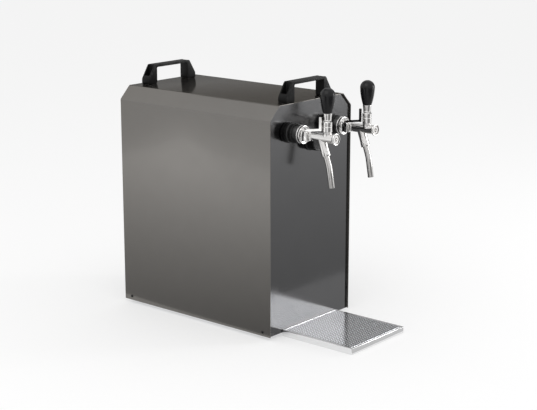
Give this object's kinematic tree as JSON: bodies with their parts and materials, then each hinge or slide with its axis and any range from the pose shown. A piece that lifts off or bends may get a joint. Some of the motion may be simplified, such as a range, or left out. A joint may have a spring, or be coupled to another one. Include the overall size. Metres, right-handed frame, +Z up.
{
  "type": "countertop beer cooler",
  "caption": "Electric countertop beer cooler with lever taps, spouts, carrying handles and a drip tray; it chills and pours keg beer.",
  "frame": {"origin": "on the counter under the middle of the whole object", "axes": "+Z up, the taps and drip tray face -Y, +X is to the right as seen from the front"},
  "size_m": [0.2696, 0.626, 0.5285],
  "materials": {
    "cover_paint": "satin dark grey paint",
    "panel_paint": "glossy dark grey paint",
    "black_plastic": "moulded, satin",
    "knob_plastic": "smooth black",
    "tap_chrome": "polished",
    "tray_steel": "polished stainless steel",
    "foot_rubber": "matt",
    "zinc_steel": "galvanised sheet",
    "cast_aluminium": "cast",
    "foam": "rigid insulation foam",
    "copper": "drawn copper tube",
    "beer_line_steel": "stainless tube",
    "compressor_paint": "black enamel",
    "screw_black": "blackened steel",
    "fitting_brass": "nickel-plated"
  },
  "bodies": {
    "cooler": {"outer_cover": "cover_paint", "front_panel": "panel_paint", "rear_panel": "cover_paint", "base_pan": "zinc_steel", "rubber_feet": "foot_rubber", "cover_screws": "screw_black", "rear_screws": "screw_black", "front_handle": "black_plastic", "rear_handle": "black_plastic", "handle_screws": "zinc_steel", "thermostat": "black_plastic", "cooler_bench": "zinc_steel", "foam_jacket": "foam", "foam_lid": "foam", "cooling_block": "cast_aluminium", "left_beer_line": "beer_line_steel", "right_beer_line": "beer_line_steel", "inlet_fittings": "fitting_brass", "compressor": "compressor_paint", "compressor_grommets": "foot_rubber", "condenser": "cast_aluminium", "fan_shroud": "zinc_steel", "fan_motor": "compressor_paint", "suction_line": "copper", "discharge_line": "copper", "liquid_line": "copper", "filter_drier": "copper", "capillary_line": "copper", "power_inlet": "black_plastic", "power_switch": "black_plastic", "left_shank": "fitting_brass", "left_coupling": "black_plastic", "left_collar": "tap_chrome", "left_shank_nut": "fitting_brass", "left_tap_body": "tap_chrome", "left_bonnet": "tap_chrome", "left_side_cap": "tap_chrome", "left_spout": "tap_chrome", "right_shank": "fitting_brass", "right_coupling": "black_plastic", "right_collar": "tap_chrome", "right_shank_nut": "fitting_brass", "right_tap_body": "tap_chrome", "right_bonnet": "tap_chrome", "right_side_cap": "tap_chrome", "right_spout": "tap_chrome"},
    "drip_tray": {"drip_tray": "tray_steel"},
    "drip_grille": {"drip_grille": "tray_steel"},
    "fan": {"fan_blade": "black_plastic"},
    "thermostat_dial": {"thermostat_knob": "black_plastic", "thermostat_shaft": "zinc_steel"},
    "switch_rocker": {"switch_rocker": "knob_plastic"},
    "left_lever": {"left_lever": "tap_chrome", "left_knob": "knob_plastic"},
    "left_plunger": {"left_valve_plunger": "fitting_brass"},
    "left_flow_lever": {"left_flow_lever": "tap_chrome"},
    "right_lever": {"right_lever": "tap_chrome", "right_knob": "knob_plastic"},
    "right_plunger": {"right_valve_plunger": "fitting_brass"},
    "right_flow_lever": {"right_flow_lever": "tap_chrome"}
  },
  "joints": [
    {"name": "drip_tray_pull", "type": "slide", "parent": "cooler", "child": "drip_tray", "axis": [0, -1, 0], "range_m": [0, 0.15]},
    {"name": "grille_lift", "type": "slide", "parent": "drip_tray", "child": "drip_grille", "axis": [0, 0, 1], "range_m": [0, 0.04]},
    {"name": "fan_spin", "type": "hinge", "parent": "cooler", "child": "fan", "pos_m": [0, 0.222, 0.1175], "axis": [0, 1, 0], "continuous": true},
    {"name": "thermostat_turn", "type": "hinge", "parent": "cooler", "child": "thermostat_dial", "pos_m": [0, -0.1305, 0.4005], "axis": [0, 1, 0], "range_deg": [0, 300]},
    {"name": "switch_rock", "type": "hinge", "parent": "cooler", "child": "switch_rocker", "pos_m": [0.022, 0.2875, 0.2655], "axis": [1, 0, 0], "range_deg": [0, 20]},
    {"name": "left_lever_tilt", "type": "hinge", "parent": "cooler", "child": "left_lever", "pos_m": [-0.066, -0.226, 0.4515], "axis": [1, 0, 0], "range_deg": [-10, 20]},
    {"name": "left_plunger_slide", "type": "slide", "parent": "cooler", "child": "left_plunger", "axis": [0, 1, 0], "range_m": [-0.0042, 0.0082]},
    {"name": "left_flow_turn", "type": "hinge", "parent": "cooler", "child": "left_flow_lever", "pos_m": [-0.066, -0.18, 0.4275], "axis": [1, 0, 0], "range_deg": [-40, 10]},
    {"name": "right_lever_tilt", "type": "hinge", "parent": "cooler", "child": "right_lever", "pos_m": [0.066, -0.226, 0.4515], "axis": [1, 0, 0], "range_deg": [-10, 20]},
    {"name": "right_plunger_slide", "type": "slide", "parent": "cooler", "child": "right_plunger", "axis": [0, 1, 0], "range_m": [-0.0042, 0.0082]},
    {"name": "right_flow_turn", "type": "hinge", "parent": "cooler", "child": "right_flow_lever", "pos_m": [0.066, -0.18, 0.4275], "axis": [1, 0, 0], "range_deg": [-40, 10]}
  ],
  "couplings": [
    {"joint": "left_plunger_slide", "follows": "left_lever_tilt", "m_per_rad": 0.02234},
    {"joint": "right_plunger_slide", "follows": "right_lever_tilt", "m_per_rad": 0.02234}
  ]
}
